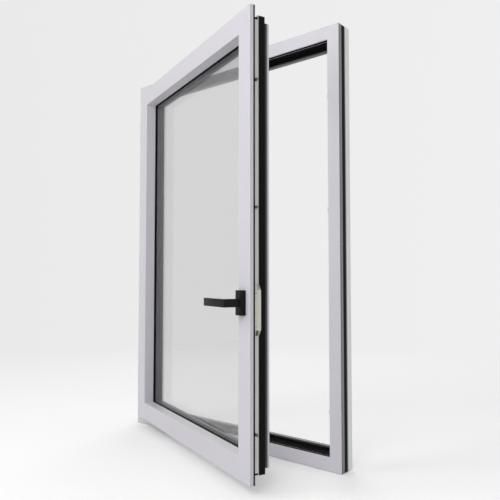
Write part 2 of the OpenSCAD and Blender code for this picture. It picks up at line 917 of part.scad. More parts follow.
module glazing_bead_lock_side() {
    color(white_paint) in_sash() bead_bar("right");
}

gasket_seat = 8;
gasket_show = 1.6;
gasket_chamfer = 1;

module inner_glazing_gasket() {
    color(black_rubber) in_sash()
        ring(sash_w, sash_h, [
            [bead_d, sash_face - gasket_seat], [bead_d, sash_face],
            [bead_d + gasket_chamfer, sash_face + gasket_show], [glass_v, sash_face + gasket_show],
            [glass_v, sash_face - gasket_seat]
        ]);
}

module outer_glazing_gasket() {
    color(black_rubber) in_sash()
        ring(sash_w, sash_h, [
            [glass_out_v, sash_face - gasket_seat], [glass_out_v, sash_face + gasket_show],
            [leg_face_v, sash_face], [leg_face_v, sash_face - gasket_seat]
        ]);
}

module pane(v) {
    translate([-sash_w / 2 + glass_r, v, glass_r])
        cube([sash_w - 2 * glass_r, pane_t, sash_h - 2 * glass_r]);
}

module inner_pane() {
    color(glass_tint) in_sash() pane(glass_v);
}

module outer_pane() {
    color(glass_tint) in_sash() pane(glass_out_v - pane_t);
}

spacer_wall = 0.6;
spacer_r = glass_r + seal_h;

module spacer_bar() {
    v0 = glass_v + pane_t;
    v1 = glass_out_v - pane_t;
    color(black_plastic) in_sash()
        difference() {
            band(sash_w, sash_h, [v0, spacer_r], [v1, spacer_r + spacer_h]);
            band(sash_w, sash_h, [v0 + spacer_wall, spacer_r + spacer_wall],
                [v1 - spacer_wall, spacer_r + spacer_h - spacer_wall]);
        }
}

module edge_seal() {
    v0 = glass_v + pane_t;
    v1 = glass_out_v - pane_t;
    color(black_rubber) in_sash() band(sash_w, sash_h, [v0, glass_r], [v1, spacer_r]);
}

// Packers between the glass edge and the rebate
block_len = 80;
block_inset = 130;

module setting_blocks() {
    color(black_plastic) in_sash()
        for (side = ["bottom", "top", "left", "right"])
            on_side(side, sash_w, sash_h)
                for (s = [-1, 1])
                    translate([s * (side_length(side, sash_w, sash_h) / 2 - block_inset) - block_len / 2,
                        glass_v, shell_w])
                        cube([block_len, glass_out_v - glass_v, glass_r - shell_w]);
}

// ---------- gearbox ----------

gearbox_near = slot[0] + gap;
gearbox_far = slot[1] - wall + gap;
plate_wall = 2.4;
tooth_half = 4.25;
tooth_v = [groove_mid - tooth_half, groove_mid + tooth_half];
pinion_hub_r = 6;
spindle_hole_r = 6.5;
handle_screw_pitch = 43;
handle_screw_r = 2.5;
handle_screw_grip = 8;
handle_screw_end = gearbox_near + handle_screw_grip - gap;
backlash = 0.24;
pressure = 20;
tooth_tip = 0.8 * tooth_module;
tooth_root = 1.15 * tooth_module;
base_r = pitch_r * cos(pressure);
housing_back = shell_w - hook_wall - gap;

function involute(a) = tan(a) * 180 / PI - a;

// Angle of a tooth's flank from its middle, at radius q
function flank_angle(q) =
    90 / pinion_teeth - backlash / 2 / pitch_r * 90 / PI
    + involute(pressure) - involute(acos(min(1, base_r / q)));

flank_steps = 5;

function flank_points(side, rise) = [
    for (k = [0:flank_steps])
        let (i = rise ? k : flank_steps - k,
            q = base_r + (pitch_r + tooth_tip - base_r) * i / flank_steps)
        [q * cos(side * flank_angle(q)), q * sin(side * flank_angle(q))]
];

module pinion_tooth() {
    inner = pitch_r - tooth_root - 1;
    polygon(concat(
        [[inner * cos(flank_angle(base_r)), -inner * sin(flank_angle(base_r))]],
        flank_points(-1, true), flank_points(1, false),
        [[inner * cos(flank_angle(base_r)), inner * sin(flank_angle(base_r))]]
    ));
}

tooth_pitch = 360 / pinion_teeth;
first_tooth = -5;
last_tooth = 0;
tooth_count = last_tooth - first_tooth + 1;
sector_margin = 2;
sector_from = first_tooth * tooth_pitch - sector_margin;
sector_sweep = tooth_count * tooth_pitch + 2 * sector_margin;

// The toothed sector turns the handle's quarter turn into the rails' travel.
module gear_pinion() {
    sector_r = pitch_r - tooth_root;
    color(zinc) in_sash()
        at_lock(spindle_set, 0, spindle_h)
            mirror([0, 1, 0]) rotate([90, 0, 0])
                difference() {
                    union() {
                        translate([0, 0, gearbox_near + gap])
                            cylinder(r = pinion_hub_r, h = gearbox_far - gearbox_near - 2 * gap);
                        translate([0, 0, tooth_v[0]])
                            linear_extrude(tooth_v[1] - tooth_v[0]) {
                                intersection() {
                                    circle(r = sector_r);
                                    polygon(concat([[0, 0]], [
                                        for (k = [0:tooth_count])
                                            let (a = sector_from + sector_sweep * k / tooth_count)
                                            2 * pitch_r * [cos(a), sin(a)]
                                    ]));
                                }
                                for (k = [first_tooth:last_tooth])
                                    rotate((k + 0.5) * tooth_pitch) pinion_tooth();
                            }
                    }
                    translate([-spindle_w / 2 - running, -spindle_w / 2 - running, 0])
                        cube([spindle_w + 2 * running, spindle_w + 2 * running, sash_inner_d]);
                }
}

rack_teeth = [-6, 1];
rack_tooth_root = rack_line - tooth_root;

// The rack's back joins the two rails, and its teeth face the pinion.
module gear_rack() {
    step = PI * tooth_module;
    half_mid = step / 4 - backlash / 2;
    tip = rack_line + tooth_tip;
    half_tip = half_mid - tooth_tip * tan(pressure);
    half_root = half_mid + tooth_root * tan(pressure);
    low = spindle_h - gearbox_below - rack_travel - rack_grip;
    high = spindle_h + gearbox_above + rack_grip;
    color(zinc) in_sash() {
        lock_box([rail_back, tooth_v[0], low], [rack_tooth_root, tooth_v[1], high]);
        at_lock(0, tooth_v[1], spindle_h)
            rotate([90, 0, 0])
                linear_extrude(tooth_v[1] - tooth_v[0])
                    for (k = [rack_teeth[0]:rack_teeth[1]])
                        translate([0, k * step])
                            polygon([
                                [-rack_tooth_root + backlash, -half_root], [-tip, -half_tip],
                                [-tip, half_tip], [-rack_tooth_root + backlash, half_root]
                            ]);
    }
}

rack_grip = 22;

module gearbox_housing() {
    z0 = spindle_h - gearbox_below;
    z1 = spindle_h + gearbox_above;
    color(zinc) in_sash()
        difference() {
            union() {
                lock_box([rail_flange_r, gearbox_near, z0], [housing_back, gearbox_far, z1]);
                lock_box([body_set, mouth[0] + gap, z0], [rail_flange_r, mouth[1] - gap, z1]);
            }
            // the rack's slot runs right through
            lock_box([rail_back - gap, tooth_v[0] - gap, z0 - overcut],
                [rack_line + tooth_tip + gap, tooth_v[1] + gap, z1 + overcut]);
            // room for the toothed sector
            intersection() {
                at_lock(spindle_set, tooth_v[0] - gap, spindle_h)
                    rotate([-90, 0, 0])
                        cylinder(r = pitch_r + tooth_tip + gap, h = tooth_v[1] - tooth_v[0] + 2 * gap);
                lock_box([rail_back, 0, z0], [housing_back - plate_wall, sash_inner_d, z1]);
            }
            // threaded holes for the handle's screws
            for (s = [-1, 1])
                at_lock(spindle_set, 0, spindle_h + s * handle_screw_pitch / 2)
                    rotate([-90, 0, 0])
                        cylinder(r = handle_screw_r, h = gearbox_near + handle_screw_grip);
            // bearings of the pinion
            at_lock(spindle_set, 0, spindle_h)
                rotate([-90, 0, 0])
                    cylinder(r = pinion_hub_r + running, h = sash_inner_d);
            faceplate_screw_places() faceplate_screw(running);
        }
}

plate_taper = 16;
plate_v = [21, 45];
plate_end_v = 38;
plate_window_v = [23.5, 36];
window_rim = 1.5;
plate_screw_inset = 8;
plate_screw_r = 1.6;
plate_screw_head_r = 3;
plate_screw_len = 3.6;

module faceplate_screw_places() {
    for (z = [spindle_h - gearbox_below + plate_screw_inset, spindle_h + gearbox_above - plate_screw_inset])
        at_lock(body_set - faceplate_t, groove_mid, z) rotate([0, -90, 0]) children();
}

module faceplate_screw(extra = 0) {
    flat_screw(plate_screw_r, plate_screw_head_r, plate_screw_len, extra);
}

// The plate is widest at the gearbox and tapers at both ends. A window in each end shows the rail's joint.
module gearbox_faceplate() {
    z0 = spindle_h - gearbox_below;
    z1 = spindle_h + gearbox_above;
    color(bare_metal) in_sash()
        difference() {
            at_lock(body_set, 0, 0)
                rotate([90, 0, 90])
                    linear_extrude(faceplate_t)
                        polygon([
                            [plate_v[0], z0 - plate_taper], [plate_end_v, z0 - plate_taper],
                            [plate_v[1], z0], [plate_v[1], z1],
                            [plate_end_v, z1 + plate_taper], [plate_v[0], z1 + plate_taper]
                        ]);
            faceplate_screw_places() faceplate_screw(running);
            for (w = [[z0 - plate_taper + window_rim, z0 - window_rim],
                    [z1 + window_rim, z1 + plate_taper - window_rim]])
                lock_box([body_set - faceplate_t - overcut, plate_window_v[0], w[0]],
                    [body_set + overcut, plate_window_v[1], w[1]]);
        }
}

module faceplate_screws() {
    color(zinc) in_sash() faceplate_screw_places() faceplate_screw();
}

rail_side_play = 0.3;
rail_end_inset = 25;
rail_top_inset = 31;
cam_stud_r = 2.5;
flange_short = 6;

module lock_rail(z0, z1, short = 0) {
    difference() {
        union() {
            lock_box([rail_flange_r, slot[0] + rail_side_play, z0],
                [rail_back, slot[1] - rail_side_play, z1 - short]);
            lock_box([rail_face, mouth[0] + rail_side_play, z0], [rail_back, mouth[1] - rail_side_play, z1]);
        }
        for (z = cam_heights)
            at_lock(rail_back + overcut, groove_mid, z)
                rotate([0, 90, 0])
                    cylinder(r = cam_stud_r, h = rail_back - rail_face + 2 * overcut);
    }
}

lower_rail_end = spindle_h - gearbox_below - rack_travel - gap;
upper_rail_start = spindle_h + gearbox_above + gap;

module lower_lock_rail() {
    color(bare_metal) in_sash() lock_rail(rail_end_inset, lower_rail_end);
}

module upper_lock_rail() {
    color(bare_metal) in_sash() lock_rail(upper_rail_start, sash_h - rail_top_inset, flange_short);
}

cam_head_r = 4.6;
cam_head_t = 1.6;

module locking_cams() {
    color(zinc) in_sash()
        for (z = cam_heights)
            at_lock(rail_back, groove_mid, z)
                rotate([0, 90, 0]) {
                    cylinder(r = cam_stud_r, h = rail_back - rail_face);
                    translate([0, 0, rail_back - rail_face]) {
                        cylinder(r = cam_r, h = cam_h);
                        cylinder(r = cam_head_r, h = cam_head_t);
                    }
                }
}

cap_len = 6;
bottom_cap_len = 5;

module rail_end_caps() {
    color(black_plastic) in_sash() {
        lock_box([rail_face, mouth[0] + rail_side_play, sash_h - rail_top_inset],
            [rail_back, mouth[1] - rail_side_play, sash_h - rail_top_inset + cap_len]);
        lock_box([rail_face, mouth[0] + rail_side_play, rail_end_inset - bottom_cap_len],
            [rail_back, mouth[1] - rail_side_play, rail_end_inset]);
    }
}

// ---------- handle ----------

rosette_wall = 2;
base_t = 4;
journal_r = 8;
boss_r = 10.5;
spindle_in = 30;
spindle_end_play = 1;
journal_lift = 1;
handle_screw_head_r = 4.5;
handle_screw_head_t = 3;

// Handle coordinates: the spindle is the local Z axis, pointing into the room.
module at_handle() {
    in_sash() at_lock(spindle_set, 0, spindle_h) rotate([90, 0, 0]) children();
}

module handle_rosette() {
    color(black_paint) at_handle()
        difference() {
            translate([-rosette_w / 2, -rosette_h / 2, 0]) cube([rosette_w, rosette_h, rosette_t]);
            translate([-rosette_w / 2 + rosette_wall, -rosette_h / 2 + rosette_wall, -overcut])
                cube([rosette_w - 2 * rosette_wall, rosette_h - 2 * rosette_wall,
                    rosette_t - rosette_wall + overcut]);
            cylinder(r = journal_r + gap, h = rosette_t + overcut);
        }
}

module handle_base_plate() {
    w = rosette_w - 2 * rosette_wall - 2 * gap;
    h = rosette_h - 2 * rosette_wall - 2 * gap;
    color(zinc) at_handle()
        difference() {
            union() {
                translate([-w / 2, -h / 2, 0]) cube([w, h, base_t]);
                cylinder(r = boss_r, h = rosette_t - rosette_wall - gap);
            }
            translate([0, 0, -overcut]) cylinder(r = journal_r + running, h = rosette_t + overcut);
            for (s = [-1, 1])
                translate([0, s * handle_screw_pitch / 2, 0]) {
                    translate([0, 0, -overcut])
                        cylinder(r = handle_screw_r + running, h = base_t + 2 * overcut);
                }
        }
}

module handle_screws() {
    color(zinc) at_handle()
        for (s = [-1, 1])
            translate([0, s * handle_screw_pitch / 2, 0]) {
                translate([0, 0, -handle_screw_end])
                    cylinder(r = handle_screw_r, h = handle_screw_end + base_t);
                translate([0, 0, base_t]) cylinder(r = handle_screw_head_r, h = handle_screw_head_t);
            }
}

// Square bar that leaves the rosette and turns along the sash
module handle_lever() {
    color(black_paint) at_handle()
        difference() {
            union() {
                translate([0, 0, journal_lift]) cylinder(r = journal_r, h = rosette_t);
                translate([-lever_w / 2, -lever_w / 2, rosette_t + gap])
                    cube([lever_w, lever_w, handle_reach - rosette_t - gap]);
                translate([-grip_len, -lever_w / 2, handle_reach - grip_t])
                    cube([grip_len, lever_w, grip_t]);
            }
            translate([-spindle_w / 2 - running, -spindle_w / 2 - running, -overcut])
                cube([spindle_w + 2 * running, spindle_w + 2 * running, spindle_in + overcut]);
        }
}

module handle_spindle() {
    color(zinc) at_handle()
        translate([-spindle_w / 2, -spindle_w / 2, -gearbox_far + spindle_end_play])
            cube([spindle_w, spindle_w, gearbox_far + spindle_in - 2 * spindle_end_play]);
}

frame_inner_sill();
frame_inner_head();
frame_inner_hinge_jamb();
frame_inner_lock_jamb();
frame_outer_sill();
frame_outer_head();
frame_outer_hinge_jamb();
frame_outer_lock_jamb();
frame_thermal_breaks();
frame_corner_cleats();
central_gasket();
groove_covers();
keepers();
keeper_screws();
drain_caps();
hinge_frame_leaves();
hinge_pins();
hinge_washers();
hinge_frame_screws();
sash_inner_bottom_rail();
sash_inner_top_rail();
sash_inner_hinge_stile();
sash_inner_lock_stile();
sash_outer_bottom_rail();
sash_outer_top_rail();
sash_outer_hinge_stile();
sash_outer_lock_stile();
sash_thermal_breaks();
sash_corner_cleats();
overlap_gasket();
glazing_bead_bottom();
glazing_bead_top();
glazing_bead_hinge_side();
glazing_bead_lock_side();
inner_glazing_gasket();
outer_glazing_gasket();
inner_pane();
outer_pane();
spacer_bar();
edge_seal();
setting_blocks();
hinge_sash_leaves();
hinge_sash_screws();
gearbox_housing();
gearbox_faceplate();
faceplate_screws();
handle_base_plate();
handle_rosette();
handle_screws();
handle_lever();
handle_spindle();
gear_pinion();
gear_rack();
upper_lock_rail();
lower_lock_rail();
locking_cams();
rail_end_caps();
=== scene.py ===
import json
import math

import bpy
from mathutils import Matrix, Vector

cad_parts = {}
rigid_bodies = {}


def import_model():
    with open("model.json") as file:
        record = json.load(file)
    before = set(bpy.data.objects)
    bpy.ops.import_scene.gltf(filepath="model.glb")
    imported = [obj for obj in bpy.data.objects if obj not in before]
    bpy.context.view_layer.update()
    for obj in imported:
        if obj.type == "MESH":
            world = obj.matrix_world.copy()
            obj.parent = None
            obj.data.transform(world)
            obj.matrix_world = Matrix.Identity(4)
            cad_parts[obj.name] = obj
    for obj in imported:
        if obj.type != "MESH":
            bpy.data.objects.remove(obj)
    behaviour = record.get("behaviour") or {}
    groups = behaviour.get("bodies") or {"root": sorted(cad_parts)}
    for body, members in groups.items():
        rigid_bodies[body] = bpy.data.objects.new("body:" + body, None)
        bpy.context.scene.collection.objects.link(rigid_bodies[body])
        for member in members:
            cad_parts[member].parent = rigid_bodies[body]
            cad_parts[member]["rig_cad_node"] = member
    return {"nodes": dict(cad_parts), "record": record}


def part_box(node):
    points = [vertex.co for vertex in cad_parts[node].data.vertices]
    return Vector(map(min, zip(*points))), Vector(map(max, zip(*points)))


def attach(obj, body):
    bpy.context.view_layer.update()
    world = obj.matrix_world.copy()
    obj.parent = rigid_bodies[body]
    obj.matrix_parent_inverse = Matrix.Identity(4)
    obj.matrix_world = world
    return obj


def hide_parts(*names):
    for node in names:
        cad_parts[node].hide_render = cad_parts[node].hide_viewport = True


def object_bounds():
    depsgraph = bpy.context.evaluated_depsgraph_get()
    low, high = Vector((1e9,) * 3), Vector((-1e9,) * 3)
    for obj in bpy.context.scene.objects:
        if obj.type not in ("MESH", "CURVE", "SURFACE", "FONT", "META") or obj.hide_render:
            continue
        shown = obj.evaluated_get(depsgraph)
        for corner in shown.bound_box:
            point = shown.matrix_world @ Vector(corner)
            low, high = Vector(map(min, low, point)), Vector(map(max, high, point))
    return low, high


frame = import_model()
cadLow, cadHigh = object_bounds()
nodes = frame["nodes"]
joints = {joint["name"]: joint for joint in frame["record"]["behaviour"]["joints"]}
bpy.ops.object.select_all(action="DESELECT")
print("window loaded:", len(nodes), "pieces")

# camera, in the room on the lock side
view = {
    "place": (1.3736, -1.5424, 0.5997),
    "yaw": 39.69,
    "pitch": 2.73,
    "lens": 40.36,
    "sensor": 36,
    "nearest": 0.05,
    "farthest": 60,
}

bpy.ops.object.camera_add(
    location=view["place"],
    rotation=(math.radians(90 + view["pitch"]), 0, math.radians(view["yaw"])),
)
camera = bpy.context.object
camera.name = "roomView"
camera.data.sensor_width = view["sensor"]
camera.data.lens = view["lens"]
camera.data.clip_start = view["nearest"]
camera.data.clip_end = view["farthest"]
bpy.context.scene.camera = camera
print("camera set")


# small helpers for node trees

def addNode(tree, kind, place=(0, 0), **values):
    node = tree.nodes.new(kind)
    node.location = place
    for key, value in values.items():
        setattr(node, key, value)
    return node


def setInputs(node, **values):
    for key, value in values.items():
        node.inputs[key.replace("_", " ")].default_value = value


def feed(tree, socket, value):
    # a link from another node, or a plain value
    if isinstance(value, bpy.types.NodeSocket):
        tree.links.new(value, socket)
    elif value is not None:
        socket.default_value = value


def mixColours(tree, place, factor, first, second):
    mix = addNode(tree, "ShaderNodeMix", place, data_type="RGBA")
    feed(tree, mix.inputs[0], factor)
    feed(tree, mix.inputs[6], first)
    feed(tree, mix.inputs[7], second)
    return mix.outputs[2]


def addMath(tree, kind, first, second=None, place=(0, 0)):
    node = addNode(tree, "ShaderNodeMath", place, operation=kind)
    feed(tree, node.inputs[0], first)
    feed(tree, node.inputs[1], second)
    return node.outputs["Value"]


def remap(tree, place, value, low, high, toLow, toHigh):
    node = addNode(tree, "ShaderNodeMapRange", place)
    tree.links.new(value, node.inputs["Value"])
    setInputs(node, From_Min=low, From_Max=high, To_Min=toLow, To_Max=toHigh)
    return node.outputs["Result"]


def startGroup(name, inputs, outputs):
    tree = bpy.data.node_groups.new(name, "ShaderNodeTree")
    for label, kind, value in inputs:
        socket = tree.interface.new_socket(name=label, in_out="INPUT", socket_type=kind)
        if value is not None:
            socket.default_value = value
    for label in outputs:
        tree.interface.new_socket(name=label, in_out="OUTPUT", socket_type="NodeSocketFloat")
    source = addNode(tree, "NodeGroupInput", (-900, 0))
    sink = addNode(tree, "NodeGroupOutput", (700, 0))
    return tree, source, sink


def startMaterial(name):
    made = bpy.data.materials.new(name)
    made.use_nodes = True
    tree = made.node_tree
    where = addNode(tree, "ShaderNodeTexCoord", (-1200, 0))
    return made, tree, tree.nodes["Principled BSDF"], where.outputs["Object"]


def placeGroup(tree, group, place, where, **values):
    node = addNode(tree, "ShaderNodeGroup", place)
    node.node_tree = group
    setInputs(node, **values)
    tree.links.new(where, node.inputs["Where"])
    return node


def turnPattern(tree, where, angle):
    # turns a pattern to run with the frame or with the open sash
    turned = addNode(tree, "ShaderNodeMapping", (-1050, 0))
    turned.inputs["Rotation"].default_value = (0, 0, angle)
    tree.links.new(where, turned.inputs["Vector"])
    return turned.outputs["Vector"]


def addBump(tree, shader, height, strength, distance):
    bump = addNode(tree, "ShaderNodeBump", (-250, -300))
    setInputs(bump, Strength=strength, Distance=distance)
    tree.links.new(height, bump.inputs["Height"])
    tree.links.new(bump.outputs["Normal"], shader.inputs["Normal"])


# effects that several finishes share

grainLook = {
    "peelDetail": 3.0,
    "peelRoughness": 0.55,
    "toneDetail": 4.0,
    "toneRoughness": 0.6,
}


def buildCoatGrain(look):
    # fine peel of a sprayed coat, with a faint uneven tone
    tree, source, sink = startGroup(
        "coatGrain",
        [("Where", "NodeSocketVector", None), ("Peel Size", "NodeSocketFloat", 900.0),
         ("Tone Size", "NodeSocketFloat", 3.0)],
        ["Peel", "Tone"],
    )
    peel = addNode(tree, "ShaderNodeTexNoise", (-500, 150))
    setInputs(peel, Detail=look["peelDetail"], Roughness=look["peelRoughness"])
    tone = addNode(tree, "ShaderNodeTexNoise", (-500, -150))
    setInputs(tone, Detail=look["toneDetail"], Roughness=look["toneRoughness"])
    link = tree.links.new
    link(source.outputs["Where"], peel.inputs["Vector"])
    link(source.outputs["Where"], tone.inputs["Vector"])
    link(source.outputs["Peel Size"], peel.inputs["Scale"])
    link(source.outputs["Tone Size"], tone.inputs["Scale"])
    link(peel.outputs["Fac"], sink.inputs["Peel"])
    link(tone.outputs["Fac"], sink.inputs["Tone"])
    return tree


linesLook = {
    "detail": 2.0,
    "roughness": 0.5,
}


def buildDrawLines(look):
    # lines that an extrusion die or a roller leaves, side by side across the depth
    tree, source, sink = startGroup(
        "drawLines",
        [("Where", "NodeSocketVector", None), ("Fineness", "NodeSocketFloat", 1500.0),
         ("Stretch", "NodeSocketFloat", 0.004)],
        ["Lines"],
    )
    flatten = addNode(tree, "ShaderNodeVectorMath", (-650, 0), operation="MULTIPLY")
    pack = addNode(tree, "ShaderNodeCombineXYZ", (-800, -200))
    pack.inputs["Y"].default_value = 1.0
    lines = addNode(tree, "ShaderNodeTexNoise", (-400, 0))
    setInputs(lines, Detail=look["detail"], Roughness=look["roughness"])
    link = tree.links.new
    link(source.outputs["Stretch"], pack.inputs["X"])
    link(source.outputs["Stretch"], pack.inputs["Z"])
    link(source.outputs["Where"], flatten.inputs[0])
    link(pack.outputs["Vector"], flatten.inputs[1])
    link(flatten.outputs["Vector"], lines.inputs["Vector"])
    link(source.outputs["Fineness"], lines.inputs["Scale"])
    link(lines.outputs["Fac"], sink.inputs["Lines"])
    return tree


dustLook = {
    "onWhite": (0.45, 0.43, 0.40, 1),
    "onBlack": (0.2, 0.19, 0.18, 1),
    "liesFrom": 0.5,       # how far a face must look up before dust stays on it
    "speckSize": 60.0,
    "detail": 5.0,
    "roughness": 0.7,
}


def buildSettledDust(look):
    # a little dust on what faces up
    tree, source, sink = startGroup(
        "settledDust",
        [("Where", "NodeSocketVector", None), ("Amount", "NodeSocketFloat", 0.2)],
        ["Dust"],
    )
    facing = addNode(tree, "ShaderNodeNewGeometry", (-700, 200))
    parts = addNode(tree, "ShaderNodeSeparateXYZ", (-500, 200))
    tree.links.new(facing.outputs["Normal"], parts.inputs["Vector"])
    up = remap(tree, (-300, 200), parts.outputs["Z"], look["liesFrom"], 1.0, 0.0, 1.0)
    specks = addNode(tree, "ShaderNodeTexNoise", (-500, -100))
    setInputs(specks, Scale=look["speckSize"], Detail=look["detail"], Roughness=look["roughness"])
    tree.links.new(source.outputs["Where"], specks.inputs["Vector"])
    lying = addMath(tree, "MULTIPLY", up, specks.outputs["Fac"], (-50, 50))
    tree.links.new(addMath(tree, "MULTIPLY", lying, source.outputs["Amount"], (200, 50)),
                   sink.inputs["Dust"])
    return tree


# where a shell's edge faces, rebates and outdoor face lie, in metres on the shut window
frameEdges = {
    "half": cadHigh[0],            # half the width over the edge faces
    "low": cadLow[2],
    "high": cadHigh[2],
    "turn": 0,                     # with the shift, brings a point to its place when shut
    "shift": (0, 0, 0),
    "inner": (-0.032, -0.0153),    # depth of the room-side shell
    "outdoors": 0.032,
    "pale": (0.0005, 0.0115),      # depths over which the painted shade on the edge faces fades to pale
}

hinge = joints["sash_hinge"]
hingePlace = Vector(hinge["pos_m"])
restAngle = math.radians(-hinge["range_deg"][0])    # how far the sash stands open
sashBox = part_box("sash_outer_lock_stile")
sashEdges = {
    "half": 0.4185,
    "low": sashBox[0][2],
    "high": sashBox[1][2],
    "turn": restAngle,
    "shift": hingePlace - Matrix.Rotation(restAngle, 3, "Z") @ hingePlace,
    "inner": (-0.049, -0.009),
    "outdoors": 0.032,
    "pale": (0.0222, 0.0294),
}
edgeMargin = 0.0004                # how near to such a face a point counts as on it


def buildSides(name, edges):
    # Wall: 1 on the edge faces. Depth: 0 to 1 through the room-side shell.
    # Pale: 1 outdoors, rising to 1 across the edge faces as their painted shade fades, 0 in the
    # rebates.
    tree, source, sink = startGroup(
        name, [("Where", "NodeSocketVector", None)], ["Wall", "Depth", "Pale"])
    shut = addNode(tree, "ShaderNodeMapping", (-700, 200))
    shut.inputs["Rotation"].default_value = (0, 0, edges["turn"])
    shut.inputs["Location"].default_value = edges["shift"]
    spot = addNode(tree, "ShaderNodeSeparateXYZ", (-500, 200))
    link = tree.links.new
    link(source.outputs["Where"], shut.inputs["Vector"])
    link(shut.outputs["Vector"], spot.inputs["Vector"])

    across = addMath(tree, "ABSOLUTE", spot.outputs["X"], None, (-300, 300))
    beside = addMath(tree, "GREATER_THAN", across, edges["half"] - edgeMargin, (-150, 300))
    above = addMath(tree, "GREATER_THAN", spot.outputs["Z"], edges["high"] - edgeMargin,
                    (-150, 150))
    below = addMath(tree, "LESS_THAN", spot.outputs["Z"], edges["low"] + edgeMargin, (-150, 0))
    ends = addMath(tree, "MAXIMUM", above, below, (0, 100))
    wall = addMath(tree, "MAXIMUM", beside, ends, (150, 200))
    link(wall, sink.inputs["Wall"])

    link(remap(tree, (0, -100), spot.outputs["Y"], *edges["inner"], 0.0, 1.0), sink.inputs["Depth"])

    rise = addNode(tree, "ShaderNodeMapRange", (0, -300), interpolation_type="SMOOTHSTEP")
    setInputs(rise, From_Min=edges["pale"][0], From_Max=edges["pale"][1], To_Min=0.0, To_Max=1.0)
    link(spot.outputs["Y"], rise.inputs["Value"])
    outdoors = addMath(tree, "GREATER_THAN", spot.outputs["Y"], edges["outdoors"] - edgeMargin,
                       (150, -400))
    onEdge = addMath(tree, "MULTIPLY", wall, rise.outputs["Result"], (300, -200))
    link(addMath(tree, "MAXIMUM", outdoors, onEdge, (450, -250)), sink.inputs["Pale"])
    return tree


coatGrain = buildCoatGrain(grainLook)
drawLines = buildDrawLines(linesLook)
settledDust = buildSettledDust(dustLook)
frameSides = buildSides("frameSides", frameEdges)
sashSides = buildSides("sashSides", sashEdges)
toneSpan = (0.3, 0.7)              # where most of a noise's values lie
print("shared effects built")


# white coat on the aluminium shells

paintLook = {
    "sashCoat": (0.708, 0.695, 0.738, 1),
    # the same white as the sash, lighter here as painted light on the frame
    "frameCoat": (0.748, 0.733, 0.778, 1),
    "shade": (0.695, 0.675, 0.722, 1),
    "paintedWallShade": (0.32, 0.32, 0.322, 1),              # painted shade on the frame's faces that meet the wall
    "paintedWallShadeFront": (0.215, 0.215, 0.217, 1),       # painted shade, darker, where that begins at the room side
    "sashRebate": (0.034, 0.034, 0.036, 1),      # the dark side of the outdoor shells
    # lighter than the sash's: painted light on the frame's rebates
    "frameRebate": (0.115, 0.115, 0.118, 1),
    "rebateShade": (0.024, 0.024, 0.026, 1),
    # painted shade, darkest beside the black bars on the shells' edges
    "paintedEdgeShade": (0.012, 0.012, 0.0125, 1),
    # painted highlight on the frame's outer edge faces
    "paintedEdgeHighlight": (0.93, 0.93, 0.94, 1),
    "rolledFrom": 0.96,                          # share of the depth where it grips the bars and its painted shade begins
    "roughness": (0.34, 0.44),
    "specular": 0.25,
    "outerSpecular": 0.55,
    "peelSize": 1400.0,
    "toneSize": 2.5,
    "dust": 0.25,
    "peel": 0.05,
    "peelDepth": 0.0003,
}


def makePaint(name, look, body="sash", shell="plain"):
    made, tree, shader, where = startMaterial(name)
    gloss = look["outerSpecular" if shell == "outer" else "specular"]
    shader.inputs["Specular IOR Level"].default_value = gloss
    grain = placeGroup(tree, coatGrain, (-900, 100), where,
                       Peel_Size=look["peelSize"], Tone_Size=look["toneSize"])
    dust = placeGroup(tree, settledDust, (-900, -250), where, Amount=look["dust"])
    tone = mixColours(tree, (-500, 200), grain.outputs["Tone"], look[body + "Coat"], look["shade"])
    tone = mixColours(tree, (-250, 200), dust.outputs["Dust"], tone, dustLook["onWhite"])
    if shell != "plain":
        group = frameSides if body == "frame" else sashSides
        sides = placeGroup(tree, group, (-900, -500), where).outputs
    if shell == "inner" and body == "frame":
        # painted shade: greyer where the frame meets the wall, darkest at the room side
        paintedWallShade = mixColours(tree, (-250, 500), sides["Depth"], look["paintedWallShadeFront"], look["paintedWallShade"])
        tone = mixColours(tree, (0, 200), sides["Wall"], tone, paintedWallShade)
    if shell == "inner" and body == "sash":
        # painted shade on the rolled edge beside the black bars
        rolled = addMath(tree, "GREATER_THAN", sides["Depth"], look["rolledFrom"], (-250, 500))
        tone = mixColours(tree, (0, 200), rolled, tone, look["paintedEdgeShade"])
    if shell == "outer":
        # dark in the rebates, pale outdoors; round the edge a painted shade, darkest beside the
        # bars, fades towards the outdoor face, on the frame into a painted highlight
        dark = mixColours(tree, (-250, 500), grain.outputs["Tone"],
                          look[body + "Rebate"], look["rebateShade"])
        dark = mixColours(tree, (-100, 500), sides["Wall"], dark, look["paintedEdgeShade"])
        if body == "frame":
            tone = mixColours(tree, (-100, 300), sides["Wall"], tone, look["paintedEdgeHighlight"])
        tone = mixColours(tree, (0, 200), sides["Pale"], dark, tone)
    tree.links.new(tone, shader.inputs["Base Color"])
    rough = remap(tree, (-500, -50), grain.outputs["Tone"], *toneSpan, *look["roughness"])
    tree.links.new(rough, shader.inputs["Roughness"])
    addBump(tree, shader, grain.outputs["Peel"], look["peel"], look["peelDepth"])
    return made


whitePaint = makePaint("whitePaint", paintLook)
frameInnerPaint = makePaint("frameInnerPaint", paintLook, "frame", "inner")
frameOuterPaint = makePaint("frameOuterPaint", paintLook, "frame", "outer")
sashInnerPaint = makePaint("sashInnerPaint", paintLook, "sash", "inner")
sashOuterPaint = makePaint("sashOuterPaint", paintLook, "sash", "outer")


# black bars, covers and gaskets, drawn through a die

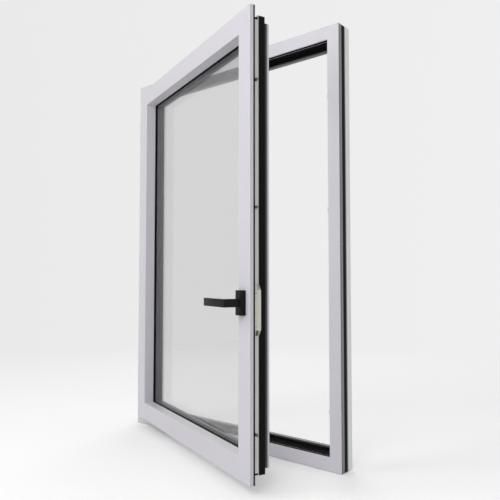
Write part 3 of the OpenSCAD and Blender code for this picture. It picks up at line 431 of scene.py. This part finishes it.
plasticLook = {
    "colour": (0.007, 0.0065, 0.007, 1),
    "worn": (0.013, 0.0122, 0.013, 1),
    "roughness": (0.45, 0.62),
    "specular": 0.10,
    "ior": 1.3,
    "lines": 1.5,
    "fineness": 900.0,
}
coverLook = {
    "colour": (0.003, 0.003, 0.0031, 1),
    "worn": (0.008, 0.008, 0.0083, 1),
    "roughness": (0.55, 0.70),
    "specular": 0.05,
    "ior": 1.25,
    "lines": 1.5,
    "fineness": 900.0,
}
rubberLook = {
    "colour": (0.0025, 0.0025, 0.0025, 1),
    "worn": (0.0055, 0.0055, 0.0058, 1),
    "roughness": (0.55, 0.75),
    "specular": 0.10,
    "ior": 1.35,
    "lines": 0.6,
    "fineness": 500.0,
}
stripGrain = {
    "stretch": 0.003,
    "peelSize": 2200.0,
    "toneSize": 9.0,
    "dust": 0.10,
    "bump": 0.25,
    "bumpDepth": 0.0004,
}


def makeStrip(name, look, turn):
    made, tree, shader, where = startMaterial(name)
    shader.inputs["Specular IOR Level"].default_value = look["specular"]
    shader.inputs["IOR"].default_value = look["ior"]
    drawn = placeGroup(tree, drawLines, (-800, 100), turnPattern(tree, where, turn),
                       Fineness=look["fineness"], Stretch=stripGrain["stretch"])
    grain = placeGroup(tree, coatGrain, (-800, -150), where,
                       Peel_Size=stripGrain["peelSize"], Tone_Size=stripGrain["toneSize"])
    dust = placeGroup(tree, settledDust, (-800, -400), where, Amount=stripGrain["dust"])
    tone = mixColours(tree, (-450, 200), drawn.outputs["Lines"], look["colour"], look["worn"])
    tone = mixColours(tree, (-200, 200), dust.outputs["Dust"], tone, dustLook["onBlack"])
    tree.links.new(tone, shader.inputs["Base Color"])
    rough = remap(tree, (-450, -50), grain.outputs["Tone"], *toneSpan, *look["roughness"])
    tree.links.new(rough, shader.inputs["Roughness"])
    raised = addNode(tree, "ShaderNodeMath", (-450, -300), operation="MULTIPLY_ADD")
    raised.inputs[1].default_value = look["lines"]
    tree.links.new(drawn.outputs["Lines"], raised.inputs[0])
    tree.links.new(grain.outputs["Peel"], raised.inputs[2])
    addBump(tree, shader, raised.outputs["Value"], stripGrain["bump"], stripGrain["bumpDepth"])
    return made


framePlastic = makeStrip("framePlastic", plasticLook, 0)
sashPlastic = makeStrip("sashPlastic", plasticLook, restAngle)
coverPlastic = makeStrip("coverPlastic", coverLook, 0)
frameRubber = makeStrip("frameRubber", rubberLook, 0)
sashRubber = makeStrip("sashRubber", rubberLook, restAngle)


# bare and plated metal

metalLooks = {
    "railMetal": {
        "colour": (0.74, 0.72, 0.66, 1), "shade": (0.65, 0.63, 0.57, 1),
        "roughness": (0.35, 0.5), "metallic": 0.35, "turn": restAngle,
    },
    "faceMetal": {
        "colour": (0.745, 0.73, 0.64, 1), "shade": (0.67, 0.655, 0.57, 1),
        "roughness": (0.35, 0.5), "metallic": 0.35, "turn": restAngle,
        "paintedRampShade": (0.43, 0.42, 0.375, 1),          # painted shade: its two ramped ends are darker
        "rampLength": 0.016,
        "rampBlend": (-0.001, 0.003),
    },
    # darker than the other zinc: painted shade for the dark spot on each cam
    "shadedCamZinc": {
        "colour": (0.17, 0.17, 0.175, 1), "shade": (0.12, 0.12, 0.123, 1),
        "roughness": (0.35, 0.5), "metallic": 0.5, "turn": restAngle,
    },
    "zincPlate": {
        "colour": (0.50, 0.51, 0.53, 1), "shade": (0.38, 0.39, 0.40, 1),
        "roughness": (0.28, 0.45), "metallic": 0.85, "turn": restAngle,
    },
    "keeperPlate": {
        "colour": (0.80, 0.80, 0.80, 1), "shade": (0.70, 0.70, 0.71, 1),
        "roughness": (0.35, 0.5), "metallic": 0.3, "turn": 0,
    },
    "millMetal": {
        "colour": (0.70, 0.70, 0.69, 1), "shade": (0.58, 0.58, 0.57, 1),
        "roughness": (0.35, 0.5), "metallic": 1.0, "turn": 0,
    },
}
metalGrain = {
    "fineness": 2600.0,
    "stretch": 0.01,
    "peelSize": 1600.0,
    "toneSize": 14.0,
    "bump": 0.12,
    "bumpDepth": 0.0002,
}


def paintRampShade(tree, where, tone, look):
    # painted shade on the faceplate's ends, above and below its flat face
    low, high = (corner[2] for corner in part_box("gearbox_faceplate"))
    flatHalf = (high - low) / 2 - look["rampLength"]
    start, stop = look["rampBlend"]
    spot = addNode(tree, "ShaderNodeSeparateXYZ", (-800, 400))
    tree.links.new(where, spot.inputs["Vector"])
    offset = addMath(tree, "SUBTRACT", spot.outputs["Z"], (low + high) / 2, (-700, 400))
    fromMiddle = addMath(tree, "ABSOLUTE", offset, None, (-600, 400))
    ramped = remap(tree, (-450, 400), fromMiddle, flatHalf + start, flatHalf + stop, 0.0, 1.0)
    return mixColours(tree, (-200, 300), ramped, tone, look["paintedRampShade"])


def makeMetal(name, look):
    made, tree, shader, where = startMaterial(name)
    drawn = placeGroup(tree, drawLines, (-800, 100), turnPattern(tree, where, look["turn"]),
                       Fineness=metalGrain["fineness"], Stretch=metalGrain["stretch"])
    grain = placeGroup(tree, coatGrain, (-800, -150), where,
                       Peel_Size=metalGrain["peelSize"], Tone_Size=metalGrain["toneSize"])
    tone = mixColours(tree, (-450, 200), grain.outputs["Tone"], look["colour"], look["shade"])
    if "paintedRampShade" in look:
        tone = paintRampShade(tree, where, tone, look)
    tree.links.new(tone, shader.inputs["Base Color"])
    rough = remap(tree, (-450, -50), drawn.outputs["Lines"], *toneSpan, *look["roughness"])
    tree.links.new(rough, shader.inputs["Roughness"])
    shader.inputs["Metallic"].default_value = look["metallic"]
    addBump(tree, shader, drawn.outputs["Lines"], metalGrain["bump"], metalGrain["bumpDepth"])
    return made


metals = {name: makeMetal(name, look) for name, look in metalLooks.items()}


# fine-textured powder coat of the handle, rubbed a little paler by hands

handleLook = {
    "colour": (0.0045, 0.0045, 0.0048, 1),
    "rubbed": (0.010, 0.010, 0.0104, 1),
    "roughness": (0.42, 0.56),
    "specular": 0.15,
    "peelSize": 3200.0,
    "toneSize": 28.0,
    "dust": 0.15,
    "bump": 0.35,
    "bumpDepth": 0.00025,
}


def makeHandlePaint(name, look):
    made, tree, shader, where = startMaterial(name)
    shader.inputs["Specular IOR Level"].default_value = look["specular"]
    grain = placeGroup(tree, coatGrain, (-800, 100), where,
                       Peel_Size=look["peelSize"], Tone_Size=look["toneSize"])
    dust = placeGroup(tree, settledDust, (-800, -200), where, Amount=look["dust"])
    tone = mixColours(tree, (-450, 200), grain.outputs["Tone"], look["colour"], look["rubbed"])
    tone = mixColours(tree, (-200, 200), dust.outputs["Dust"], tone, dustLook["onBlack"])
    tree.links.new(tone, shader.inputs["Base Color"])
    rough = remap(tree, (-450, -50), grain.outputs["Tone"], *toneSpan, *look["roughness"])
    tree.links.new(rough, shader.inputs["Roughness"])
    addBump(tree, shader, grain.outputs["Peel"], look["bump"], look["bumpDepth"])
    return made


handlePaint = makeHandlePaint("handlePaint", handleLook)


# clear panes, faintly smeared

glassLook = {
    "colour": (0.876, 0.876, 0.876, 1),
    "passing": (0.96, 0.96, 0.96, 1),     # for light on its way to other pieces
    "ior": 1.5,
    "speckSize": 40.0,
    "smearSize": 1.6,
    "smearSpan": (0.4, 0.8),
    "roughness": (0.0, 0.012),
}


def makeGlass(name, look):
    made, tree, shader, where = startMaterial(name)
    setInputs(shader, Base_Color=look["colour"], Transmission_Weight=1.0, IOR=look["ior"],
              Metallic=0.0)
    smear = placeGroup(tree, coatGrain, (-800, -100), where,
                       Peel_Size=look["speckSize"], Tone_Size=look["smearSize"])
    rough = remap(tree, (-450, -50), smear.outputs["Tone"], *look["smearSpan"], *look["roughness"])
    passing = addNode(tree, "ShaderNodeBsdfTransparent", (0, -300))
    passing.inputs["Color"].default_value = look["passing"]
    rays = addNode(tree, "ShaderNodeLightPath", (0, 300))
    lit = addMath(tree, "MAXIMUM", rays.outputs["Is Shadow Ray"], rays.outputs["Is Diffuse Ray"],
                  (160, 300))
    mix = addNode(tree, "ShaderNodeMixShader", (320, 0))
    link = tree.links.new
    link(rough, shader.inputs["Roughness"])
    link(lit, mix.inputs[0])
    link(shader.outputs["BSDF"], mix.inputs[1])
    link(passing.outputs["BSDF"], mix.inputs[2])
    link(mix.outputs["Shader"], tree.nodes["Material Output"].inputs["Surface"])
    return made


paneGlass = makeGlass("paneGlass", glassLook)

# each finish and the pieces that have it; a piece not named here is plain white
finishedPieces = [
    (frameInnerPaint, ["frame_inner_sill", "frame_inner_head", "frame_inner_hinge_jamb",
                       "frame_inner_lock_jamb"]),
    (frameOuterPaint, ["frame_outer_sill", "frame_outer_head", "frame_outer_hinge_jamb",
                       "frame_outer_lock_jamb"]),
    (sashInnerPaint, ["sash_inner_bottom_rail", "sash_inner_top_rail", "sash_inner_hinge_stile",
                      "sash_inner_lock_stile"]),
    (sashOuterPaint, ["sash_outer_bottom_rail", "sash_outer_top_rail", "sash_outer_hinge_stile",
                      "sash_outer_lock_stile"]),
    (framePlastic, ["frame_thermal_breaks"]),
    (sashPlastic, ["sash_thermal_breaks", "setting_blocks", "rail_end_caps", "spacer_bar"]),
    (coverPlastic, ["groove_covers", "hinge_washers"]),
    (frameRubber, ["central_gasket"]),
    (sashRubber, ["overlap_gasket", "inner_glazing_gasket", "outer_glazing_gasket", "edge_seal"]),
    (metals["millMetal"], ["frame_corner_cleats", "sash_corner_cleats"]),
    (metals["keeperPlate"], ["keepers"]),
    (metals["zincPlate"], ["keeper_screws", "hinge_pins", "hinge_frame_screws",
                           "hinge_sash_screws", "gearbox_housing", "faceplate_screws",
                           "handle_base_plate", "handle_screws", "handle_spindle",
                           "gear_pinion", "gear_rack"]),
    (metals["shadedCamZinc"], ["locking_cams"]),
    (metals["faceMetal"], ["gearbox_faceplate"]),
    (metals["railMetal"], ["upper_lock_rail", "lower_lock_rail"]),
    (paneGlass, ["inner_pane", "outer_pane"]),
    (handlePaint, ["handle_rosette", "handle_lever"]),
]
finishOf = {node: finish for finish, named in finishedPieces for node in named}

for name, piece in nodes.items():
    finish = finishOf.get(name, whitePaint)
    if not piece.material_slots:
        piece.data.materials.append(finish)
    for slot in piece.material_slots:
        slot.material = finish
print("finishes placed")


# lever and rosette, with their long edges rounded

handleShape = {
    "rounding": 0.0009,
    "steps": 3,
    "longFrom": 0.008,       # shorter edges, round the bores, keep their shape
    "boreReach": 0.007,      # what lies nearer to the spindle's axis is inside
    "sharpFrom": 40,         # degrees at which an edge counts as sharp
    "merge": 0.00001,
    "flatWithin": 1,         # degrees within which two facets become one
    "frontMargin": 0.0001,
}
spindle = joints["handle_turn"]
spindlePlace = Vector(spindle["pos_m"])
spindleWay = Vector(spindle["axis"]).normalized()    # out of the sash, into the room


def fromSpindle(point):
    # height above the pivot along the axis, and distance from the axis
    offset = point - spindlePlace
    height = offset.dot(spindleWay)
    return height, (offset - height * spindleWay).length


def pickLongEdges(mesh, shape, frontOnly):
    # of the selected edges, the long outer ones stay selected
    front = max(fromSpindle(vertex.co)[0] for vertex in mesh.vertices)
    chosen = []
    for edge in mesh.edges:
        ends = [mesh.vertices[i].co for i in edge.vertices]
        heights, reaches = zip(*(fromSpindle(end) for end in ends))
        isLong = (ends[0] - ends[1]).length > shape["longFrom"]
        isOuter = max(reaches) > shape["boreReach"]
        atFront = max(heights) > front - shape["frontMargin"]
        if edge.select and isLong and isOuter and (atFront or not frontOnly):
            chosen.append(edge)
    for items in (mesh.vertices, mesh.edges, mesh.polygons):
        for item in items:
            item.select = False
    for edge in chosen:
        edge.select = True
    return len(chosen)


def roundLongEdges(node, name, body, shape, frontOnly=False):
    # works on a copy of the node, with its facets merged
    bpy.ops.object.select_all(action="DESELECT")
    nodes[node].select_set(True)
    bpy.context.view_layer.objects.active = nodes[node]
    bpy.ops.object.duplicate()
    piece = bpy.context.object
    piece.name = name
    piece.data.name = name
    del piece["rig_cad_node"]
    bpy.ops.object.mode_set(mode="EDIT")
    bpy.ops.mesh.select_mode(type="EDGE")
    bpy.ops.mesh.select_all(action="SELECT")
    bpy.ops.mesh.remove_doubles(threshold=shape["merge"])
    bpy.ops.mesh.dissolve_limited(angle_limit=math.radians(shape["flatWithin"]))
    bpy.ops.mesh.select_all(action="DESELECT")
    bpy.ops.mesh.edges_select_sharp(sharpness=math.radians(shape["sharpFrom"]))
    bpy.ops.object.mode_set(mode="OBJECT")
    rounded = pickLongEdges(piece.data, shape, frontOnly)
    bpy.ops.object.mode_set(mode="EDIT")
    bpy.ops.mesh.bevel(offset=shape["rounding"], segments=shape["steps"], affect="EDGES",
                       clamp_overlap=True)
    bpy.ops.object.mode_set(mode="OBJECT")
    bpy.ops.object.shade_smooth_by_angle(angle=math.radians(shape["sharpFrom"]))
    piece.select_set(False)
    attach(piece, body)
    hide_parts(node)
    print(name, "made, with", rounded, "rounded edges")


roundLongEdges("handle_lever", "roundedLever", "handle", handleShape)
roundLongEdges("handle_rosette", "roundedRosette", "sash", handleShape, frontOnly=True)


# floor, backdrop and light

studio = {
    "floorSize": 60.0,
    "floorDrop": 0.001,
    "floorColour": (0.84, 0.84, 0.845, 1),
    "floorRoughness": 0.9,
    "floorSeenLeft": (1.225, 1.225, 1.225, 1),   # its colour when looked at, almost white
    "floorSeenRight": (1.30, 1.30, 1.30, 1),
    "floorGlow": (0.875, 0.875, 0.875, 1),
    "floorShadow": 0.95,                         # how much of the shadow it keeps near the window
    "fadeFrom": (1.3736, -1.5424, 0),            # the spot round which the floor stays a floor
    "fadeReach": (2.1, 4.8),                     # metres over which it turns into the backdrop
    "backdropLeft": (0.822, 0.822, 0.822, 1),
    "backdropRight": (0.865, 0.865, 0.865, 1),
    "backdropTurn": 39.69,                       # degrees from the x axis to its left-right line
    "backdropSpread": 0.42,                      # how far it reaches along that line, either way
    "allRound": 0.30,
    "frontLeft": 0.341,
    "frontLeftFrom": (-0.6, -0.8, 0.0),
    "rear": 0.60,
    "rearFrom": (0.0, 1.0, 0.0),
    "lampTarget": (0, 0, 0.7),
}

lamps = {
    "leftPanel": {"place": (-1.6, -3.0, 2.4), "size": 2.0, "power": 31.6},
    "frontPanel": {"place": (0.45, -2.6, 2.2), "size": 1.2, "power": 7.8},
    "sidePanel": {"place": (1.3, -2.0, 1.6), "size": 1.0, "power": 10.7},
    "rearPanel": {"place": (-2.2, 3.0, 2.2), "size": 2.4, "power": 27.0},
}


def seenRays(tree):
    # 1 for what is looked at, straight, through glass or as a reflection
    rays = addNode(tree, "ShaderNodeLightPath", (-900, 500)).outputs
    straight = addMath(tree, "MAXIMUM", rays["Is Camera Ray"], rays["Is Transmission Ray"])
    return addMath(tree, "MAXIMUM", straight, rays["Is Glossy Ray"])


def leftToRight(tree, way, place):
    # 0 to 1 across the room
    side = addNode(tree, "ShaderNodeVectorMath", place, operation="DOT_PRODUCT")
    tree.links.new(way, side.inputs[0])
    turn = math.radians(studio["backdropTurn"])
    side.inputs[1].default_value = (math.cos(turn), math.sin(turn), 0)
    spread = studio["backdropSpread"]
    return remap(tree, (-500, -200), side.outputs["Value"], -spread, spread, 0.0, 1.0)


def showBySeen(tree, plain, seen, output):
    # one shader for the light's own rays, another for what is looked at
    mix = addNode(tree, "ShaderNodeMixShader", (350, 0))
    tree.links.new(seenRays(tree), mix.inputs[0])
    tree.links.new(plain, mix.inputs[1])
    tree.links.new(seen, mix.inputs[2])
    tree.links.new(mix.outputs["Shader"], tree.nodes[output].inputs["Surface"])


def makeFloor():
    bpy.ops.mesh.primitive_plane_add(
        size=studio["floorSize"], location=(0, 0, cadLow[2] - studio["floorDrop"]))
    floor = bpy.context.object
    floor.name = "studioFloor"
    bpy.ops.object.transform_apply(location=True, rotation=True, scale=True)

    made, tree, shader, where = startMaterial("floorFinish")
    setInputs(shader, Base_Color=studio["floorColour"], Roughness=studio["floorRoughness"])
    shader.inputs["Specular IOR Level"].default_value = 0.0
    away = addNode(tree, "ShaderNodeVectorMath", (-900, 0), operation="SUBTRACT")
    away.inputs[1].default_value = studio["fadeFrom"]
    reach = addNode(tree, "ShaderNodeVectorMath", (-700, 0), operation="LENGTH")
    heading = addNode(tree, "ShaderNodeVectorMath", (-700, -200), operation="NORMALIZE")
    link = tree.links.new
    link(where, away.inputs[0])
    link(away.outputs["Vector"], reach.inputs[0])
    link(away.outputs["Vector"], heading.inputs[0])
    side = leftToRight(tree, heading.outputs["Vector"], (-600, -200))
    far = remap(tree, (-500, 0), reach.outputs["Value"], *studio["fadeReach"], 0.0, 1.0)

    # far off it glows like the backdrop, near the window it takes light and shadow
    back = mixColours(tree, (-300, -100), side, studio["backdropLeft"], studio["backdropRight"])
    pale = addNode(tree, "ShaderNodeEmission", (-50, 200))
    link(mixColours(tree, (-150, 0), far, studio["floorGlow"], back), pale.inputs["Color"])
    lit = addNode(tree, "ShaderNodeBsdfDiffuse", (-50, -200))
    link(mixColours(tree, (-250, -300), side, studio["floorSeenLeft"], studio["floorSeenRight"]),
         lit.inputs["Color"])
    shown = addNode(tree, "ShaderNodeMixShader", (150, 100))
    link(remap(tree, (-300, 300), far, 0.0, 1.0, 1.0 - studio["floorShadow"], 1.0),
         shown.inputs[0])
    link(lit.outputs["BSDF"], shown.inputs[1])
    link(pale.outputs["Emission"], shown.inputs[2])
    showBySeen(tree, shader.outputs["BSDF"], shown.outputs["Shader"], "Material Output")
    floor.data.materials.append(made)


def makeWorld():
    world = bpy.data.worlds.new("studioWorld")
    bpy.context.scene.world = world
    world.use_nodes = True
    tree = world.node_tree
    light = tree.nodes["Background"]
    light.inputs["Color"].default_value = (1, 1, 1, 1)
    ways = addNode(tree, "ShaderNodeTexCoord", (-1100, 0)).outputs["Generated"]
    strength = studio["allRound"]
    for glow in ("frontLeft", "rear"):
        # a wide soft glow from one side
        facing = addNode(tree, "ShaderNodeVectorMath", (-800, 0), operation="DOT_PRODUCT")
        tree.links.new(ways, facing.inputs[0])
        facing.inputs[1].default_value = studio[glow + "From"]
        soft = addMath(tree, "MAXIMUM", facing.outputs["Value"], 0.0)
        glowing = addMath(tree, "MULTIPLY", soft, studio[glow])
        strength = addMath(tree, "ADD", glowing, strength)
    tree.links.new(strength, light.inputs["Strength"])
    backdrop = addNode(tree, "ShaderNodeBackground", (0, -200))
    side = leftToRight(tree, ways, (-700, -300))
    tree.links.new(
        mixColours(tree, (-300, -200), side, studio["backdropLeft"], studio["backdropRight"]),
        backdrop.inputs["Color"])
    showBySeen(tree, light.outputs["Background"], backdrop.outputs["Background"], "World Output")


def hangLamps():
    for name, lamp in lamps.items():
        bpy.ops.object.light_add(type="AREA", location=lamp["place"])
        panel = bpy.context.object
        panel.name = name
        panel.data.size = lamp["size"]
        panel.data.energy = lamp["power"]
        panel.visible_camera = False
        panel.visible_transmission = False
        aim = Vector(studio["lampTarget"]) - panel.location
        panel.rotation_euler = aim.to_track_quat("-Z", "Y").to_euler()


makeFloor()
makeWorld()
hangLamps()
bpy.context.scene.view_settings.view_transform = "Standard"
print("studio set")
